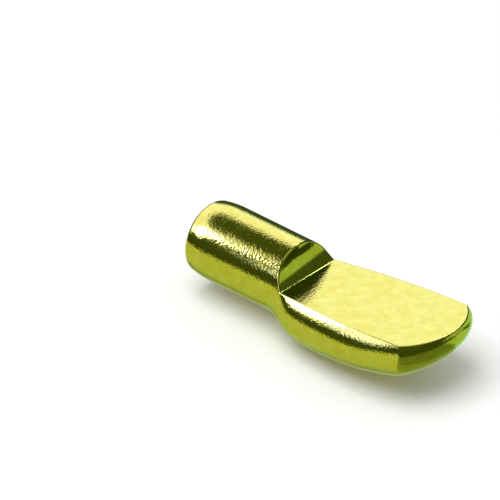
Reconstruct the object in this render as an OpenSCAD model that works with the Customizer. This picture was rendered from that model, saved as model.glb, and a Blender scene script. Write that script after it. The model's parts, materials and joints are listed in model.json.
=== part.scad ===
// Shelf support pin of the spoon kind, cold headed in one piece from round wire.
// The round shank fits a hole in the side of a cabinet, and the shelf rests on the flat seat.
// The origin is on the shank's axis, in the plane of the cabinet's wall, where the shank ends and
// the neck begins.
// X runs along the shank towards the seat's tip, and Z is up.

/* [Shank] */
// Diameter of the shank
shank_d = 6.3; // [5:0.1:7.6]
// Length of the shank, from the wall to its inner end
shank_len = 8.15; // [5:0.05:12]
// Length of the curved lead-in at the inner end
lead_len = 2; // [1:0.1:3]
// How far the lead-in falls below the shank's surface on its way to the end face
lead_drop = 0.25; // [0.1:0.05:0.8]
// Radius of the end face's rim
nose_rim_r = 0.4; // [0.1:0.05:0.6]

/* [Shoulder] */
// Distance from the wall to the foot of the shoulder, where the seat begins
shoulder_x = 2.1; // [1.8:0.1:4]
// How far the shoulder leans back, from its foot to the top of the shank
shoulder_lean = 0.93; // [0.4:0.01:1.4]
// Radius of the hollow in the shoulder's face
shoulder_r = 5.4; // [4:0.1:30]

/* [Seat] */
// Length of the flat seat, from the foot of the shoulder to its tip
seat_len = 15.1; // [12:0.1:19]
// Width of the seat at its widest place
seat_w = 8; // [7:0.1:10]
// Distance from the foot of the shoulder to the widest place
seat_wide_x = 10.9; // [8:0.1:13]
// Radius of the seat's long side edges
seat_side_r = 70; // [50:1:200]
// How far the rounded tip stands out beyond the seat's two corners
tip_rise = 2; // [1:0.1:3]
// Height of the seat above the shank's axis, at the foot of the shoulder
seat_z = 0.65; // [0:0.05:1.2]
// Slope of the seat, upwards to the tip, in degrees
seat_slope = 5; // [0:0.5:8]

/* [Underside] */
// Depth of the bowl under the seat at its deepest place
bowl_depth = 5.1; // [4:0.1:6]
// Distance from the foot of the shoulder to the deepest place
bowl_deep_x = 5; // [2:0.1:8]
// Radius of the keel, the lowest line along the bowl
keel_r = 41; // [30:1:100]
// How far the flanks bulge past the seat's edge near the neck, from 0 for none
neck_bulge = 0.59; // [0.3:0.01:0.7]
// The same at the corners of the tip
tip_bulge = 0.37; // [0.2:0.01:0.6]
// Radius of the two corners of the tip at the seat
corner_top_r = 0.2; // [0.1:0.05:0.5]
// Radius that these corners have grown to at the keel
corner_keel_r = 2.4; // [1:0.1:3]
// Distance from the foot of the shoulder at which the sections start to fan out to the tip
fan_x = 4.1; // [2:0.1:7]

/* [Neck] */
// The neck starts to swell at the wall along the keel, and this far before the shoulder at the sides
neck_side = 0.5; // [0.3:0.1:2.1]
// How far past the foot of the shoulder the neck has its full size
neck_ahead = 3.8; // [2:0.1:4]
// How early the neck does most of its swelling along the keel, from 2 for an even course
neck_haste = 4.5; // [2:0.5:8]
// The same beside the seat
neck_side_haste = 8; // [2:0.5:10]
// How far the neck's start lies under the shank's surface
neck_sink = 0.02; // [0.01:0.01:0.05]

/* [Hidden] */
brass_yellow = [0.84, 0.74, 0.27];
shank_r = shank_d / 2;
corner_x = seat_len - tip_rise;
// Sides of a full circle in the side profiles, and of the turned shank
arc_sides = 180;
shank_sides = 96;
// How far the space over the seat runs past the pin, and the neck runs back inside the shank
cut_margin = 3;
neck_root = 0.6;

// Half the seat's width at the distance x from the foot of the shoulder
function seat_half(x) = seat_w / 2 - arc_drop(seat_side_r, x - seat_wide_x);
// How far an arc of radius r has fallen at the distance x from its highest place
function arc_drop(r, x) = r - sqrt(r * r - x * x);
// Depth of the keel under the seat at the distance x
function keel_depth(x) = bowl_depth - arc_drop(keel_r, x - bowl_deep_x);
// Height of the seat's plane at the distance x
function seat_height(x) = seat_z + x * tan(seat_slope);
// A step from 0 to 1 with level ends
function ease(t) = let (u = min(1, max(0, t))) u * u * (3 - 2 * u);
// The meeting point of a circle round a and one round b, on the right as seen from a
function circles_meet(a, ra, b, rb) =
    let (d = norm(b - a), along = (ra * ra - rb * rb + d * d) / (2 * d))
    let (u = (b - a) / d, side = sqrt(ra * ra - along * along))
    a + along * u + side * [u[1], -u[0]];

// The seat's outline, half of it, is a long side arc, a corner and the arc of the tip
tip_half = seat_half(corner_x);
tip_r = (tip_half * tip_half + tip_rise * tip_rise) / (2 * tip_rise);
side_centre = [seat_wide_x, seat_w / 2 - seat_side_r];
tip_centre = [seat_len - tip_r, 0];
function corner_centre(r) =
    circles_meet(side_centre, seat_side_r - r, tip_centre, tip_r - r);
function polar(p) = atan2(p[1], p[0]);
function on_circle(c, r, angle) = c + r * [cos(angle), sin(angle)];

neck_steps = 26;
side_steps = 14;
corner_steps = 5;
tip_steps = 12;
stations = neck_steps + side_steps + corner_steps + tip_steps;
// Point number i of the outline, from the neck to the tip, whose corner has the radius r
function outline(i, r) =
    let (c = corner_centre(r))
    let (a_side = polar(c - side_centre), a_tip = polar(c - tip_centre))
    let (side_end = on_circle(side_centre, seat_side_r, a_side)[0])
    let (side_i = i - neck_steps, corner_i = side_i - side_steps, tip_i = corner_i - corner_steps)
    i <= neck_steps
        ? let (x = i == 0 ? -neck_root - shoulder_x
                   : -shoulder_x + (i - 1) / (neck_steps - 1) * (shoulder_x + neck_ahead))
          [x, seat_half(x)]
    : side_i <= side_steps
        ? let (x = neck_ahead + side_i / side_steps * (side_end - neck_ahead))
          [x, seat_half(x)]
    : corner_i <= corner_steps
        ? on_circle(c, r, a_side + corner_i / corner_steps * (a_tip - a_side))
    : on_circle(tip_centre, tip_r, a_tip * (1 - tip_i / tip_steps));

// The place on the middle line that a section starts from. Sections near the tip lean forward.
function spine(x) =
    let (past = max(0, x - fan_x))
    x - past * past / (2 * (seat_len - fan_x));

// The bulge of the flank beside the place x on the seat's edge. Most of its change is near the tip.
bulge_power = 3.5;
function bulge_at(x) =
    neck_bulge + (tip_bulge - neck_bulge) * pow(max(0, x) / corner_x, bulge_power);

// A section is an ellipse that turns from 0 over the seat to 180 at the keel. It passes the seat's
// edge at edge_turn, half way between the last top row and the first flank row. Past the shoulder, all
// above that edge is cut away by the seat.
edge_band = 2;
top_rows = 9;
flank_rows = 23;
last = top_rows + flank_rows;
function turn(edge_turn, k) =
    k < top_rows ? (edge_turn - edge_band) * k / (top_rows - 1)
    : edge_turn + edge_band + (180 - edge_turn - edge_band) * (k - top_rows) / flank_rows;
// The share of the neck's swelling that is reached at the share t of its length
function swelling(t, haste) =
    let (u = min(1, max(0, t))) 1 - pow(1 - u, haste) * (1 + haste * u);

// The tip's corners get their full radius over this much of the turn below the seat's edge
crease_fade = 110;
// The neck's start goes from its place at the sides to its place at the keel in this part of the turn
neck_turn = 70;
neck_turn_span = 50;
// Point of the bowl at outline number i and in row k, on the side of positive y. The neck is filled
// out to the shank's own circle where the growing section would fall inside it.
function bowl_point(i, k) =
    let (edge_turn = acos(bulge_at(outline(i, corner_top_r)[0])))
    let (a = turn(edge_turn, k))
    let (corner_r = corner_top_r + ease((a - edge_turn) / crease_fade) * (corner_keel_r - corner_top_r))
    let (edge = outline(i, corner_r))
    let (bulge = bulge_at(edge[0]))
    let (reach = sin(a) / sqrt(1 - bulge * bulge))
    let (sunk = (bulge - cos(a)) / (1 + bulge))
    let (start = spine(edge[0]))
    let (x = start + reach * (edge[0] - start))
    let (low = ease((a - neck_turn) / neck_turn_span))
    let (back = neck_side + (shoulder_x - neck_side) * low)
    let (haste = neck_side_haste + (neck_haste - neck_side_haste) * low)
    let (grown = swelling((x + back) / (back + neck_ahead), haste))
    let (round_r = shank_r - neck_sink)
    let (y = round_r * sin(a) * (1 - grown) + reach * edge[1] * grown)
    let (z = round_r * cos(a) * (1 - grown) + (seat_height(x) - sunk * keel_depth(x)) * grown)
    let (fill = x < neck_ahead ? max(1, round_r / norm([y, z])) : 1)
    [shoulder_x + x, y * fill, z * fill];

// The bowl is a loft: rings that run down one side and up the other, and half a ring at the tip
ring = 2 * last;
function ring_point(i, j) =
    let (p = bowl_point(i, j <= last ? j : ring - j))
    [p[0], j <= last ? p[1] : -p[1], p[2]];
function ring_index(i, j) =
    let (k = j % ring)
    i < stations ? i * ring + k : stations * ring + (k <= last ? k : ring - k);

module bowl_loft() {
    points = concat(
        [for (i = [0:stations - 1], j = [0:ring - 1]) ring_point(i, j)],
        [for (j = [0:last]) ring_point(stations, j)]);
    skin = [for (i = [0:stations - 1], j = [0:ring - 1])
        let (a = ring_index(i, j), b = ring_index(i, j + 1))
        let (c = ring_index(i + 1, j + 1), d = ring_index(i + 1, j))
        each [[a, b, c], [a, c, d]]];
    back = [[for (j = [ring - 1:-1:0]) j]];
    polyhedron(points, concat(
        [for (f = skin) if (f[0] != f[1] && f[1] != f[2] && f[2] != f[0]) f], back));
}

// Half the shank's section along its axis, with y as the distance from the axis
module shank_profile() {
    lead_r = (lead_len * lead_len + lead_drop * lead_drop) / (2 * lead_drop);
    lead_centre = [lead_len - shank_len, shank_r - lead_r];
    rim_centre = [
        nose_rim_r - shank_len,
        lead_centre[1] + sqrt(pow(lead_r - nose_rim_r, 2) - pow(lead_len - nose_rim_r, 2))];
    rim_out = rim_centre - lead_centre;
    rim_top = lead_centre + rim_out * lead_r / norm(rim_out);
    translate([lead_centre[0], 0]) square([-lead_centre[0], shank_r]);
    translate([-shank_len, 0]) square([shank_len, rim_centre[1]]);
    intersection() {
        translate([rim_top[0], 0]) square([lead_centre[0] - rim_top[0], shank_r]);
        translate(lead_centre) circle(lead_r, $fn = arc_sides);
    }
    translate(rim_centre) circle(nose_rim_r, $fn = arc_sides);
}

module shank() {
    rotate([0, 90, 0])
    rotate_extrude($fn = shank_sides)
    rotate(90)
    mirror([0, 1])
    shank_profile();
}

// The space over the seat and in front of the hollow shoulder
module seat_space() {
    top = shank_r + bowl_depth;
    foot = [shoulder_x, seat_z];
    head = [shoulder_x - shoulder_lean, shank_r];
    far = seat_len + cut_margin;
    half_chord = norm(head - foot) / 2;
    across = [head[1] - foot[1], foot[0] - head[0]] / (2 * half_chord);
    centre = (foot + head) / 2 + across * sqrt(shoulder_r * shoulder_r - half_chord * half_chord);
    rotate([90, 0, 0]) linear_extrude(2 * (seat_w + cut_margin), center = true) {
        polygon([
            foot, [shoulder_x + far, seat_height(far)], [shoulder_x + far, top], [shoulder_x, top]]);
        intersection() {
            translate(centre) circle(shoulder_r, $fn = arc_sides);
            translate([shoulder_x - shank_d, 0]) square([shank_d, top]);
        }
    }
}

module pin() {
    color(brass_yellow)
    difference() {
        union() {
            shank();
            bowl_loft();
        }
        seat_space();
    }
}

pin();
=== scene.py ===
"""Looks of a spoon-shaped shelf support pin of brass-plated steel.

The pin is one smooth mesh with rounded edges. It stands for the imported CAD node, whose lofted
bowl is faceted, and it is worked out from the same named sizes. Lengths are in millimetres for
the pin and for the cards and mats that it mirrors, and in metres for the floor, lamp and camera.
The finished meshes are all in metres.
"""

import json
import math

import bmesh
import bpy
import numpy as np
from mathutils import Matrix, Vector


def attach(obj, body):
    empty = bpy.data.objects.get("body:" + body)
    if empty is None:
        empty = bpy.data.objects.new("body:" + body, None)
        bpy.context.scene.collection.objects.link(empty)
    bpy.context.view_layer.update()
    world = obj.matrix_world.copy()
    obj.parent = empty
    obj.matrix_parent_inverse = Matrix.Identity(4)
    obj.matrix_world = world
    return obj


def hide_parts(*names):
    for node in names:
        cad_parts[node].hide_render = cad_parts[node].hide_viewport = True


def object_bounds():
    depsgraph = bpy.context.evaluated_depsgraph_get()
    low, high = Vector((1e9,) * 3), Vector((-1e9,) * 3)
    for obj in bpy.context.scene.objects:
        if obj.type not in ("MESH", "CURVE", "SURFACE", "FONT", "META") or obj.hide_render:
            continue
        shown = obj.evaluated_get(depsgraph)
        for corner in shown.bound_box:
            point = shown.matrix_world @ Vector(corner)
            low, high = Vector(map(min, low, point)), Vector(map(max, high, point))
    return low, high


MM = 0.001
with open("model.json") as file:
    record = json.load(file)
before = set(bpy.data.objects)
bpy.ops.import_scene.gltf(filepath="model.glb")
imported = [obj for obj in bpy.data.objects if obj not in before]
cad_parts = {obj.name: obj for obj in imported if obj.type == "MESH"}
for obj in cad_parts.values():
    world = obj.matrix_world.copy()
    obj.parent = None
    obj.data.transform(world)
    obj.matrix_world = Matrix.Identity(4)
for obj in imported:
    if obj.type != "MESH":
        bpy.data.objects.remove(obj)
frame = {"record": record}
cad_low, cad_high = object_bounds()
mounts = {m["name"]: m for m in frame["record"]["mounts"]}

# ---------------------------------------------------------------- sizes of the pin, in millimetres
SHANK_R = mounts["shank"]["dims"]["r_mm"]
SHANK_LEN = -cad_low.x / MM
LEAD_LEN = 2.0
LEAD_DROP = 0.25
NOSE_RIM_R = 0.4

SHOULDER_X = 2.1
SHOULDER_LEAN = 0.93
SHOULDER_R = 5.4

SEAT_LEN = 15.1
SEAT_W = 8.0
SEAT_WIDE_X = 10.9
SEAT_SIDE_R = 70.0
TIP_RISE = 2.0
SEAT_Z = 0.65

BOWL_DEPTH = 5.1
BOWL_DEEP_X = 5.0
KEEL_R = 41.0
CORNER_TOP_R = 0.2
CORNER_KEEL_R = 2.4
FAN_X = 4.1

NECK_SIDE = 0.5
NECK_AHEAD = 3.8

# Radii of the rounded edge round the seat and shoulder, and of the hollow between the two
EDGE_R = 0.12
SEAM_R = 0.1

# Angles, in degrees
SEAT_SLOPE = 5.0
CREASE_FADE = 110.0
NECK_TURN = 70.0
NECK_TURN_SPAN = 50.0

# Plain numbers. A bulge is the seat's height over a section's widest place, as a share of the
# section's half height, and a haste is how soon the neck swells
NECK_BULGE = 0.59
TIP_BULGE = 0.37
BULGE_POWER = 3.5
NECK_HASTE = 4.5
NECK_SIDE_HASTE = 8.0

PIN_MIDDLE = (cad_low.x + cad_high.x) / (2 * MM)

# ---------------------------------------------------------------- how finely the mesh is divided
# Stations along the pin
LEAD_STATIONS, BARREL_STATIONS, NECK_STATIONS = 24, 30, 40
SIDE_STATIONS, CORNER_STATIONS, TIP_STATIONS = 80, 14, 56

# Steps round half the pin, across the cut, across its rounded edge, and along the small arcs
RING_STEPS = 84
CAP_STEPS = 22
EDGE_STEPS = 6
SHOULDER_STEPS = 44
SEAM_STEPS = 6
RIM_STEPS = 8


# ---------------------------------------------------------------- the pin's outer surface
def ease(t):
    """A step from 0 to 1 with level ends."""
    u = np.clip(t, 0, 1)
    return u * u * (3 - 2 * u)


def swelling(t, haste):
    """The share of the neck's swelling that is reached at the share t of its length."""
    u = np.clip(t, 0, 1)
    return 1 - (1 - u) ** haste * (1 + haste * u)


def arc_drop(r, x):
    """How far an arc of radius r has fallen at the distance x from its highest place."""
    return r - np.sqrt(r * r - x * x)


def seat_half(x):
    """Half the seat's width at x."""
    return SEAT_W / 2 - arc_drop(SEAT_SIDE_R, x - SEAT_WIDE_X)


def keel_depth(x):
    """How deep the keel lies under the seat at x."""
    return BOWL_DEPTH - arc_drop(KEEL_R, x - BOWL_DEEP_X)


def seat_height(x):
    """The height of the sloping seat at x."""
    return SEAT_Z + x * math.tan(math.radians(SEAT_SLOPE))


def spine(x):
    """Where on the middle line a section starts. Sections near the tip lean forward."""
    past = np.maximum(0, x - FAN_X)
    return x - past * past / (2 * (SEAT_LEN - FAN_X))


CORNER_X = SEAT_LEN - TIP_RISE
TIP_HALF = seat_half(CORNER_X)
TIP_R = (TIP_HALF**2 + TIP_RISE**2) / (2 * TIP_RISE)
SIDE_CENTRE = np.array([SEAT_WIDE_X, SEAT_W / 2 - SEAT_SIDE_R])
TIP_CENTRE = np.array([SEAT_LEN - TIP_R, 0.0])


def bulge_at(x):
    """The bulge of a section, which lessens from the neck to the tip."""
    return NECK_BULGE + (TIP_BULGE - NECK_BULGE) * (np.maximum(0, x) / CORNER_X) ** BULGE_POWER


def corner_centre(r):
    """The centre of the tip's corner of radius r, which touches the side arc and the tip arc."""
    ra, rb = SEAT_SIDE_R - r, TIP_R - r
    gap = TIP_CENTRE - SIDE_CENTRE
    d = float(np.hypot(*gap))
    along = (ra * ra - rb * rb + d * d) / (2 * d)
    side = np.sqrt(ra * ra - along * along)
    ux, uy = gap / d
    return SIDE_CENTRE[0] + along * ux + side * uy, SIDE_CENTRE[1] + along * uy - side * ux


# Places along the outline: up to SIDE_END they are distances along X, then 1 for the corner and
# 1 for the tip
SIDE_END = CORNER_X
CORNER_END = SIDE_END + 1
TIP_END = CORNER_END + 1


def outline(place, r):
    """The seat's outline at a place, with tip corners of radius r."""
    cx, cy = corner_centre(r)
    a_side = np.arctan2(cy - SIDE_CENTRE[1], cx - SIDE_CENTRE[0])
    a_tip = np.arctan2(cy - TIP_CENTRE[1], cx - TIP_CENTRE[0])
    side_end = SIDE_CENTRE[0] + SEAT_SIDE_R * np.cos(a_side)
    share = np.clip((place - NECK_AHEAD) / (SIDE_END - NECK_AHEAD), 0, 1)
    side_x = np.where(place < NECK_AHEAD, place, NECK_AHEAD + share * (side_end - NECK_AHEAD))
    a = a_side + np.clip(place - SIDE_END, 0, 1) * (a_tip - a_side)
    b = a_tip * (1 - np.clip(place - CORNER_END, 0, 1))
    on_side, on_corner = place <= SIDE_END, place <= CORNER_END
    x = np.where(on_corner, cx + r * np.cos(a), TIP_CENTRE[0] + TIP_R * np.cos(b))
    y = np.where(on_corner, cy + r * np.sin(a), TIP_R * np.sin(b))
    return np.where(on_side, side_x, x), np.where(on_side, seat_half(side_x), y)


def edge_turn(place):
    """The turn at which a section passes the seat's edge, in degrees."""
    edge_x, _ = outline(place, np.full_like(place, CORNER_TOP_R))
    return np.degrees(np.arccos(bulge_at(edge_x)))


LEAD_R = (LEAD_LEN**2 + LEAD_DROP**2) / (2 * LEAD_DROP)


def shank_radius(x):
    """The shank's radius at the distance x from the shoulder's foot, with its lead-in."""
    return SHANK_R - arc_drop(LEAD_R, np.minimum(0, x + SHOULDER_X + SHANK_LEN - LEAD_LEN))


def surface(place, turn):
    """Points of the shank, neck and bowl, with X measured from the shoulder's foot.

    turn goes from 0 at the top to 180 at the keel, on the side of positive Y.
    """
    place, turn = np.broadcast_arrays(np.asarray(place, float), np.asarray(turn, float))
    a = np.radians(turn)
    fade = ease((turn - edge_turn(place)) / CREASE_FADE)
    edge_x, edge_y = outline(place, CORNER_TOP_R + fade * (CORNER_KEEL_R - CORNER_TOP_R))
    bulge = bulge_at(edge_x)
    reach = np.sin(a) / np.sqrt(1 - bulge * bulge)
    sunk = (bulge - np.cos(a)) / (1 + bulge)
    start = spine(edge_x)
    x = start + reach * (edge_x - start)
    low = ease((turn - NECK_TURN) / NECK_TURN_SPAN)
    back = NECK_SIDE + (SHOULDER_X - NECK_SIDE) * low
    haste = NECK_SIDE_HASTE + (NECK_HASTE - NECK_SIDE_HASTE) * low
    grown = swelling((x + back) / (back + NECK_AHEAD), haste)
    round_r = shank_radius(x)
    depth = keel_depth(np.maximum(x, -SHOULDER_X))
    y = round_r * np.sin(a) * (1 - grown) + reach * edge_y * grown
    z = round_r * np.cos(a) * (1 - grown) + (seat_height(x) - sunk * depth) * grown
    # The neck is nowhere thinner than the shank
    from_axis, least = np.hypot(y, z), 0.001
    fill = np.where(x < NECK_AHEAD, np.maximum(1, round_r / np.maximum(from_axis, least)), 1)
    return np.stack([x, y * fill, z * fill], -1)


def unit(v):
    """The vectors v, each made one unit long."""
    return v / np.linalg.norm(v, axis=-1, keepdims=True)


def slopes(place, turn, step=0.01):
    """How the surface moves with place and with turn, and its outward normal."""
    along = (surface(place + step, turn) - surface(place - step, turn)) / (2 * step)
    round_ = (surface(place, turn + step) - surface(place, turn - step)) / (2 * step)
    return along, round_, unit(np.cross(along, round_))


# ---------------------------------------------------------------- the cut: shoulder, seam, seat
def cut_profile(seat_places):
    """The side profile of the cut, from the shoulder's top to the neck's end, with its normals.

    Returns points [x, z] and normals [x, z]. From there on the seat's edge takes over.
    """
    foot, head = np.array([0.0, SEAT_Z]), np.array([-SHOULDER_LEAN, SHANK_R])
    half = np.linalg.norm(head - foot) / 2
    across = np.array([head[1] - foot[1], foot[0] - head[0]]) / (2 * half)
    centre = (foot + head) / 2 + across * math.sqrt(SHOULDER_R**2 - half**2)
    up = unit(np.array([-math.tan(math.radians(SEAT_SLOPE)), 1.0]))

    # The seam's hollow touches the shoulder's arc from inside and the seat from above
    level = SEAM_R - (centre - foot) @ up
    ahead = np.array([up[1], -up[0]])
    seam = centre + up * level - ahead * math.sqrt((SHOULDER_R - SEAM_R) ** 2 - level**2)
    touch = unit(seam - centre)
    low = centre + touch * SHOULDER_R

    turns = np.linspace(0, math.acos(low[1] / SHANK_R), SHOULDER_STEPS + 1)
    z = SHANK_R * np.cos(turns)
    x = centre[0] - np.sqrt(SHOULDER_R**2 - (z - centre[1]) ** 2)
    points = [np.stack([x, z], -1)]
    normals = [unit(centre - points[0])]

    first, last = (math.atan2(ray[1], ray[0]) % math.tau for ray in (touch, -up))
    angle = np.linspace(first, last, SEAM_STEPS + 1)[1:]
    ray = np.stack([np.cos(angle), np.sin(angle)], -1)
    points.append(seam + ray * SEAM_R)
    normals.append(-ray)

    seat_x = seat_places[seat_places > points[1][-1, 0]]
    points.append(np.stack([seat_x, seat_height(seat_x)], -1))
    normals.append(np.broadcast_to(up, (len(seat_x), 2)))
    return np.concatenate(points), np.concatenate(normals)


def turn_at_height(x, z):
    """The turn at which the surface at x has come down to the height z."""
    below_seat, halvings = 120.0, 50
    low, high = np.zeros_like(x), np.full_like(x, below_seat)
    for _ in range(halvings):
        middle = (low + high) / 2
        above = surface(x, middle)[..., 2] > z
        low, high = np.where(above, middle, low), np.where(above, high, middle)
    return (low + high) / 2


def crease_line():
    """The crease where the cut leaves the outer surface, from the shoulder's top to the tip.

    Returns its places and turns, the cut's normals there, and how many come before the neck's end.
    """
    fine, coarse, coarse_from = 0.03, 0.08, 0.6
    neck_x = np.concatenate([np.arange(fine, coarse_from, fine),
                             np.arange(coarse_from, NECK_AHEAD, coarse)])
    profile, normal = cut_profile(neck_x)
    side = np.linspace(NECK_AHEAD, SIDE_END, SIDE_STATIONS)
    corner = np.linspace(SIDE_END, CORNER_END, CORNER_STATIONS)[1:]
    tip = np.linspace(CORNER_END, TIP_END, TIP_STATIONS)[1:]
    ahead = np.concatenate([side, corner, tip])
    place = np.concatenate([profile[:, 0], ahead])
    turn = np.concatenate([turn_at_height(profile[:, 0], profile[:, 1]), edge_turn(ahead)])
    turn[0] = 0
    normal = np.concatenate([normal, np.broadcast_to(normal[-1], (len(ahead), 2))])
    cap_normal = np.stack([normal[:, 0], np.zeros(len(place)), normal[:, 1]], -1)
    return place, turn, cap_normal, len(profile)


def roll_ball(place, turn, cap_normal, neck_count):
    """A ball of EDGE_R that rolls along inside the crease and rounds it.

    Returns its centres, the outer surface's normals, and the places and turns that it touches.
    """
    crease = surface(place, turn)
    along, round_, skin_normal = slopes(place, turn)
    skin_normal[[0, -1], 1] = 0
    skin_normal = unit(skin_normal)
    cosine = (cap_normal * skin_normal).sum(-1, keepdims=True)
    ball = crease - EDGE_R * (cap_normal + skin_normal) / (1 + cosine)
    shift = ball + EDGE_R * skin_normal - crease
    moves = np.stack([along, round_], -1)
    steps = np.stack([np.linalg.lstsq(m, s, rcond=None)[0] for m, s in zip(moves, shift)])
    # Past the neck the crease runs along the outline, so the ball touches at the same place
    steps[neck_count:, 0] = 0
    skin_place, skin_turn = place + steps[:, 0], turn + steps[:, 1]
    skin_place[-1] = TIP_END
    skin_turn[0] = 0
    return ball, skin_normal, skin_place, skin_turn


# ---------------------------------------------------------------- the mesh
def grid_faces(index):
    """Quads over a grid of vertex numbers."""
    a, b, c, d = index[:-1, :-1], index[1:, :-1], index[1:, 1:], index[:-1, 1:]
    return np.stack([a, b, c, d], -1).reshape(-1, 4)


def crept(steps, first):
    """Shares from 0 to 1, of which the first step is short."""
    return np.concatenate([[0.0], first + (1.0 - first) * np.linspace(0, 1, steps)])


def inner_end(turns):
    """Rings of the shank's flat inner end and of the small rim round it."""
    inner = -SHOULDER_X - SHANK_LEN
    rim_r = shank_radius(inner + NOSE_RIM_R) - NOSE_RIM_R
    flat_shares = np.array([0, 0.3, 0.6, 0.9, 0.985])
    bend = np.radians(np.linspace(90, 0, RIM_STEPS + 1))[:-1]
    ring_x = np.concatenate([np.full(len(flat_shares), inner),
                             inner + NOSE_RIM_R - NOSE_RIM_R * np.sin(bend)])
    ring_r = np.concatenate([rim_r * flat_shares, rim_r + NOSE_RIM_R * np.cos(bend)])
    a = np.radians(turns)
    x = np.broadcast_to(ring_x[:, None], (len(ring_x), a.size))
    return np.stack([x, ring_r[:, None] * np.sin(a), ring_r[:, None] * np.cos(a)], -1)


def shank_rings(turns, shoulder_top):
    """Rings of the shank, from its inner end's rim to the shoulder's top."""
    inner = -SHOULDER_X - SHANK_LEN
    lead = np.linspace(inner + NOSE_RIM_R, inner + LEAD_LEN, LEAD_STATIONS)
    barrel = np.linspace(inner + LEAD_LEN, -SHOULDER_X, BARREL_STATIONS)[1:]
    neck = np.linspace(-SHOULDER_X, shoulder_top, NECK_STATIONS)[1:-1]
    return surface(np.concatenate([lead, barrel, neck])[:, None], turns)


def cut_rows(ball, skin_normal, cap_normal):
    """Rows of the rounded edge and of the cut's own face, from the edge to the middle line."""
    cap_edge = ball + EDGE_R * cap_normal
    cap_edge[[0, -1], 1] = 0
    turned = np.linspace(0, 1, EDGE_STEPS + 1)[1:-1, None]
    rays = unit(skin_normal[:, None] * (1 - turned) + cap_normal[:, None] * turned)
    edge = ball[:, None] + EDGE_R * rays
    edge[[0, -1], :, 1] = 0
    cap = np.repeat(cap_edge[:, None], CAP_STEPS + 1, 1)
    cap[..., 1] *= 1 - crept(CAP_STEPS, first=0.01)
    return np.concatenate([edge, cap], 1)


def half_pin():
    """Vertices and faces of the pin's half with positive Y."""
    place, turn, cap_normal, neck_count = crease_line()
    ball, skin_normal, skin_place, skin_turn = roll_ball(place, turn, cap_normal, neck_count)
    turns = np.linspace(0, 180, RING_STEPS + 1)[None, :]
    end = inner_end(turns)
    shank = shank_rings(turns, skin_place[0])
    share = crept(RING_STEPS, first=0.003)[None, :]
    skin = surface(skin_place[:, None], skin_turn[:, None] + share * (180 - skin_turn[:, None]))
    skin[-1, :, 1] = 0

    outer = np.concatenate([end, shank, skin])
    number = np.arange(outer.shape[0] * outer.shape[1]).reshape(outer.shape[:2])
    upper = cut_rows(ball, skin_normal, cap_normal)
    upper_number = number.size + np.arange(upper.shape[0] * upper.shape[1]).reshape(upper.shape[:2])
    joined = np.concatenate([number[-len(place):, :1], upper_number], 1)
    points = np.concatenate([outer.reshape(-1, 3), upper.reshape(-1, 3)])
    faces = np.concatenate([grid_faces(number), grid_faces(joined)[:, ::-1]])
    return points + np.array([SHOULDER_X, 0, 0]), faces


def inside_cad_box(points):
    """The points in metres, drawn in by the little that the smooth bowl passes the faceted one."""
    points = points * MM
    above = np.minimum(1, np.array(cad_high) / points.max(0))
    below = np.minimum(1, np.array(cad_low) / points.min(0))
    return points * np.where(points > 0, above, below)


def new_object(name, data):
    """An object for a mesh, lamp or camera, linked into the scene."""
    item = bpy.data.objects.new(name, data)
    bpy.context.scene.collection.objects.link(item)
    return item


def build_pin():
    """The whole pin as one closed, smooth mesh in metres."""
    points, faces = half_pin()
    mirrored = points * np.array([1, -1, 1])
    faces = np.concatenate([faces, faces[:, ::-1] + len(points)])
    points = np.concatenate([points, mirrored])
    mesh = bpy.data.meshes.new("plated_pin")
    mesh.from_pydata(inside_cad_box(points).tolist(), [], faces.tolist())
    shape = bmesh.new()
    shape.from_mesh(mesh)
    bmesh.ops.remove_doubles(shape, verts=shape.verts, dist=0.0005 * MM)
    bmesh.ops.dissolve_degenerate(shape, edges=shape.edges, dist=0.0001 * MM)
    bmesh.ops.recalc_face_normals(shape, faces=shape.faces)
    shape.to_mesh(mesh)
    shape.free()
    mesh.polygons.foreach_set("use_smooth", [True] * len(mesh.polygons))
    return new_object("plated_pin", mesh)


# ---------------------------------------------------------------- materials
class Nodes:
    """A material's or world's node tree, with short calls to add and link nodes."""

    def __init__(self, owner):
        owner.use_nodes = True
        self.tree = owner.node_tree
        self.tree.nodes.clear()

    def add(self, kind, settings=None, **inputs):
        """A new node. An input's name has _ for each space, and its value may be a socket."""
        node = self.tree.nodes.new(kind)
        for name, value in (settings or {}).items():
            setattr(node, name, value)
        for name, value in inputs.items():
            socket = node.inputs[name.replace("_", " ")]
            if isinstance(value, bpy.types.NodeSocket):
                self.tree.links.new(value, socket)
            else:
                socket.default_value = value
        return node

    def link(self, output, socket):
        """A link from a node's output to an input socket."""
        self.tree.links.new(output, socket)


# The plating's warm, plain and pale tones, each with its place on the ramp of the speckle's noise
TONES = (0.33, (0.395, 0.35, 0.018)), (0.45, (0.37, 0.385, 0.027)), (0.66, (0.425, 0.437, 0.037))
GLANCING_TINT = (0.78, 0.96, 0.6, 1)


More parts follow.
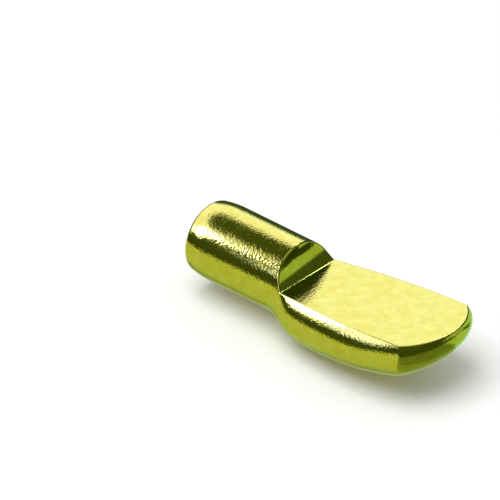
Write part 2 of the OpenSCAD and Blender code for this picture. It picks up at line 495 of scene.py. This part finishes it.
def brass_material(name, roughness, grain_depth):
    """Greenish brass plating: metal with specks and a fine grain, whose depth is in millimetres."""
    material = bpy.data.materials.new(name)
    n = Nodes(material)
    # The object's coordinates are in metres, and so the noise's scales are per metre
    where = n.add("ShaderNodeTexCoord").outputs["Object"]
    speckle = n.add("ShaderNodeTexNoise", Vector=where, Scale=1100.0, Detail=6.0, Roughness=0.7)
    colour = n.add("ShaderNodeValToRGB", Fac=speckle.outputs["Fac"])
    stops = colour.color_ramp.elements
    stops.new(0.5)
    for stop, (position, tone) in zip(stops, TONES):
        stop.position, stop.color = position, (*tone, 1)
    grain = n.add("ShaderNodeTexNoise", Vector=where, Scale=5200.0, Detail=2.5, Roughness=0.55)
    bump = n.add("ShaderNodeBump", Strength=1.0, Distance=grain_depth * MM,
                 Height=grain.outputs["Fac"])
    shader = n.add("ShaderNodeBsdfPrincipled", Base_Color=colour.outputs["Color"], Metallic=1.0,
                   Roughness=roughness, Specular_Tint=GLANCING_TINT,
                   Normal=bump.outputs["Normal"])
    out = n.add("ShaderNodeOutputMaterial")
    n.link(shader.outputs["BSDF"], out.inputs["Surface"])
    return material


def finish_pin(pin):
    """Grainy plating, and a smoother one where the die's face struck the shoulder and seam."""
    materials = pin.data.materials
    materials.append(brass_material("brass_plating", roughness=0.062, grain_depth=0.0195))
    materials.append(brass_material("brass_struck_smooth", roughness=0.07, grain_depth=0.002))
    seam_end, facing_tip = (SHOULDER_X + SEAM_R) * MM, 0.02
    for face in pin.data.polygons:
        struck = face.normal.x > facing_tip and face.center.x < seam_end
        face.material_index = int(struck)


def glow_material(name, level, tint, core=None):
    """A glowing card's material. A core level makes the card brighter towards its middle."""
    material = bpy.data.materials.new(name)
    n = Nodes(material)
    glow = n.add("ShaderNodeEmission", Color=(*tint, 1), Strength=level)
    if core:
        middle = n.add("ShaderNodeVectorMath", {"operation": "SUBTRACT"},
                       Vector=n.add("ShaderNodeTexCoord").outputs["Generated"])
        middle.inputs[1].default_value = (0.5, 0.5, 0.5)
        away = n.add("ShaderNodeVectorMath", {"operation": "LENGTH"},
                     Vector=middle.outputs["Vector"])
        fall = n.add("ShaderNodeMapRange", {"interpolation_type": "SMOOTHSTEP"},
                     Value=away.outputs["Value"],
                     From_Min=0.0, From_Max=0.6, To_Min=core, To_Max=level)
        n.link(fall.outputs["Result"], glow.inputs["Strength"])
    out = n.add("ShaderNodeOutputMaterial")
    n.link(glow.outputs["Emission"], out.inputs["Surface"])
    return material


def floor_material():
    """A pale diffuse floor, which takes the pin's shadow and shows nothing of it mirrored."""
    material = bpy.data.materials.new("pale_floor")
    n = Nodes(material)
    shader = n.add("ShaderNodeBsdfDiffuse", Color=(0.97, 0.97, 0.97, 1))
    out = n.add("ShaderNodeOutputMaterial")
    n.link(shader.outputs["BSDF"], out.inputs["Surface"])
    return material


# ---------------------------------------------------------------- what stands round the pin
def staged(name, points, faces, material):
    """A mesh that isn't part of the object, in metres."""
    mesh = bpy.data.meshes.new(name)
    mesh.from_pydata(points, [], faces)
    mesh.materials.append(material)
    item = new_object(name, mesh)
    return item


def only_in_reflections(item):
    """Hides the item from the camera and from diffuse rays, and keeps it from casting a shadow."""
    item.visible_camera = False
    item.visible_diffuse = False
    item.visible_shadow = False


def glowing(name, points, faces, level, tint, core=None):
    """A glowing shape that is seen only in the pin's reflections. Its points are in millimetres."""
    material = glow_material(name + "_glow", level, tint, core)
    only_in_reflections(staged(name, [[c * MM for c in p] for p in points], faces, material))


def make_floor(height):
    """A floor under the pin at a height in metres."""
    reach = 3.0
    corners = [(x * reach, y * reach, height) for x, y in ((-1, -1), (1, -1), (1, 1), (-1, 1))]
    staged("floor", corners, [(0, 1, 2, 3)], floor_material())


def card(name, toward, distance, width, height, **glow):
    """A card that faces the frame's origin, on the shank's axis, from a direction."""
    out = Vector(toward).normalized()
    side = out.cross(Vector((0, 0, 1))).normalized()
    up = side.cross(out)
    corners = [out * distance + side * (i * width / 2) + up * (j * height / 2)
               for i, j in ((-1, -1), (1, -1), (1, 1), (-1, 1))]
    glowing(name, corners, [(0, 1, 2, 3)], **glow)


def round_wall(name, radius, heights, azimuths, **glow):
    """An upright wall round the pin's middle, between two heights and two azimuths."""
    posts = 80
    turns = np.radians(np.linspace(*azimuths, posts))
    ring = np.stack([PIN_MIDDLE + radius * np.cos(turns), radius * np.sin(turns)], -1)
    points = [(x, y, z) for z in heights for x, y in ring]
    faces = [(i, i + 1, i + posts + 1, i + posts) for i in range(posts - 1)]
    glowing(name, points, faces, **glow)


def sloped_card(name, first, last, **glow):
    """An upright card between two ends, each given as azimuth, distance and (foot, top)."""
    corners = []
    for azimuth, distance, heights in (first, (last[0], last[1], last[2][::-1])):
        turn = math.radians(azimuth)
        x, y = PIN_MIDDLE + distance * math.cos(turn), distance * math.sin(turn)
        corners += [(x, y, z) for z in heights]
    glowing(name, corners, [(0, 1, 2, 3)], **glow)


def mat(name, corners, lift, **glow):
    """A flat mat with four corners, lifted a little off the floor."""
    height = cad_low.z / MM + lift
    glowing(name, [(x, y, height) for x, y in corners], [(0, 1, 2, 3)], **glow)


def oblong(x0, y0, x1, y1):
    """The corners of a mat with sides along X and Y."""
    return (x0, y0), (x1, y0), (x1, y1), (x0, y1)


# Tints of what the metal mirrors. The plating swallows most blue, so the lights have a lot of it
LAMP, WALL, GREEN, DARK = (1.0, 0.95, 5.0), (1.07, 0.94, 3.25), (0.79, 1.0, 0.8), (0.78, 1.0, 0.6)


def make_lights_in_metal():
    """The bright shapes that the metal mirrors on its shank, seat, seam and near flank."""
    round_wall("soft_wall", radius=150, heights=(24, 150), azimuths=(123, 221),
               level=2.29, tint=WALL)
    card("near_lamp", (-0.71, -0.53, 0.46), distance=60, width=12, height=30,
         level=1.4, core=42.0, tint=(1.0, 0.95, 4.5))
    card("shank_glint", (-13.4, -10.0, 8.4), distance=18.8, width=1.3, height=6,
         level=0.8, core=24.0, tint=(1.0, 0.95, 4.0))
    card("overhead_card", (0.01, 0, 1), distance=150, width=100, height=100,
         level=1.6, tint=(1.07, 0.94, 2.0))
    card("seam_light", (-0.28, 0.62, 0.735), distance=150, width=19, height=34,
         level=12.0, tint=LAMP)
    sloped_card("flank_light", (231, 38.5, (12, 26)), (265, 19.5, (3.5, 12)), level=3.2, tint=LAMP)


def make_fences():
    """Upright cards on the floor: dark ones, and a green one beyond the far side of the tip."""
    foot = cad_low.z / MM
    sloped_card("flank_fence", (231, 38, (foot, 12.6)), (265, 19, (foot, 4.2)),
                level=0.13, tint=DARK)
    round_wall("low_fence", radius=38.2, heights=(foot, 9), azimuths=(65, 375),
               level=0.12, tint=DARK)
    sloped_card("green_card", (30, 38, (foot, 16.5)), (46, 38, (foot, 0.5)),
                level=0.92, tint=GREEN)


def make_mats():
    """Mats on the floor, which the pin's steep and overhanging faces mirror."""
    near_end, divide = -25, 4.5
    mat("green_mat", oblong(1, divide, 70, 60), lift=0.05, level=1.0, tint=GREEN)
    mat("oval_mat", ((17, 12.5), (36, 23), (36, 28.5), (15, 14.5)), lift=0.08,
        level=0.07, tint=DARK)
    mat("corner_mat", oblong(14.5, near_end, 17.5, divide), lift=0.09, level=0.52,
        tint=(0.9, 1.0, 0.6))
    mat("tip_near_mat", oblong(17.5, near_end, 21, divide), lift=0.1, level=0.36,
        tint=(0.84, 1.0, 0.6))
    mat("tip_mat", oblong(21, near_end, 30, divide), lift=0.1, level=0.34, tint=(0.8, 1.0, 0.6))
    mat("tip_dark_mat", oblong(30, near_end, 45, 18), lift=0.12, level=0.11, tint=DARK)
    mat("under_mat", oblong(-12, -3, 14.5, divide), lift=0.05, level=0.6, tint=(1.0, 1.0, 0.7))
    mat("dark_mat", oblong(-80, 5, -1, 80), lift=0.1, level=0.08, tint=DARK)


def make_surround():
    """A dim sphere round it all, for what no card or mat covers."""
    bpy.ops.mesh.primitive_uv_sphere_add(radius=0.5, segments=48, ring_count=24)
    surround = bpy.context.object
    surround.name = "dim_surround"
    surround.data.materials.append(glow_material("surround_glow", level=0.15, tint=DARK))
    only_in_reflections(surround)


# ---------------------------------------------------------------- light, world and camera
def make_light():
    """A soft lamp over the pin, a little to the near side, which the metal doesn't mirror."""
    near_side, above, size = 0.14, 0.35, 0.3
    light = bpy.data.lights.new("overhead", "AREA")
    light.shape, light.size, light.size_y = "RECTANGLE", size, size
    light.energy = 0.95
    lamp = new_object("overhead", light)
    lamp.location = (PIN_MIDDLE * MM, -near_side, above)
    lamp.rotation_euler.x = math.atan2(near_side, above)
    lamp.visible_glossy = False
    lamp.visible_camera = False


def make_world():
    """White where it is seen, mirrored or seen through, and dimmer as a light."""
    world = bpy.data.worlds.new("studio")
    bpy.context.scene.world = world
    n = Nodes(world)
    path = n.add("ShaderNodeLightPath")
    seen = n.add("ShaderNodeMath", {"operation": "MAXIMUM"})
    n.link(path.outputs["Is Camera Ray"], seen.inputs[0])
    n.link(path.outputs["Is Glossy Ray"], seen.inputs[1])
    shown = n.add("ShaderNodeMath", {"operation": "MAXIMUM"})
    n.link(seen.outputs[0], shown.inputs[0])
    n.link(path.outputs["Is Transmission Ray"], shown.inputs[1])
    level = n.add("ShaderNodeMapRange", Value=shown.outputs[0], To_Min=0.6, To_Max=1.0)
    back = n.add("ShaderNodeBackground", Color=(1, 1, 1, 1), Strength=level.outputs["Result"])
    out = n.add("ShaderNodeOutputWorld")
    n.link(back.outputs["Background"], out.inputs["Surface"])


def make_camera():
    """A camera without perspective that looks down on the seat from the near side of the tip."""
    azimuth, elevation = math.radians(42.12), math.radians(33.0)
    view_width, distance = 38.68 * MM, 0.4
    # The pin lies this far right of the picture's middle and below it
    right_of_middle, below_middle = 6.28 * MM, 3.90 * MM
    back = Vector((math.sin(azimuth) * math.cos(elevation),
                   -math.cos(azimuth) * math.cos(elevation), math.sin(elevation)))
    turn = (-back).to_track_quat("-Z", "Y")
    aim = (cad_low + cad_high) / 2 - turn @ Vector((right_of_middle, -below_middle, 0))
    data = bpy.data.cameras.new("camera")
    data.type = "ORTHO"
    data.ortho_scale = view_width
    camera = new_object("camera", data)
    camera.location = aim + back * distance
    camera.rotation_mode = "QUATERNION"
    camera.rotation_quaternion = turn
    bpy.context.scene.camera = camera


bpy.context.scene.view_settings.view_transform = "Standard"
make_camera()
pin = build_pin()
finish_pin(pin)
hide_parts("pin")
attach(pin, "root")
make_floor(cad_low.z)
make_lights_in_metal()
make_fences()
make_mats()
make_surround()
make_light()
make_world()
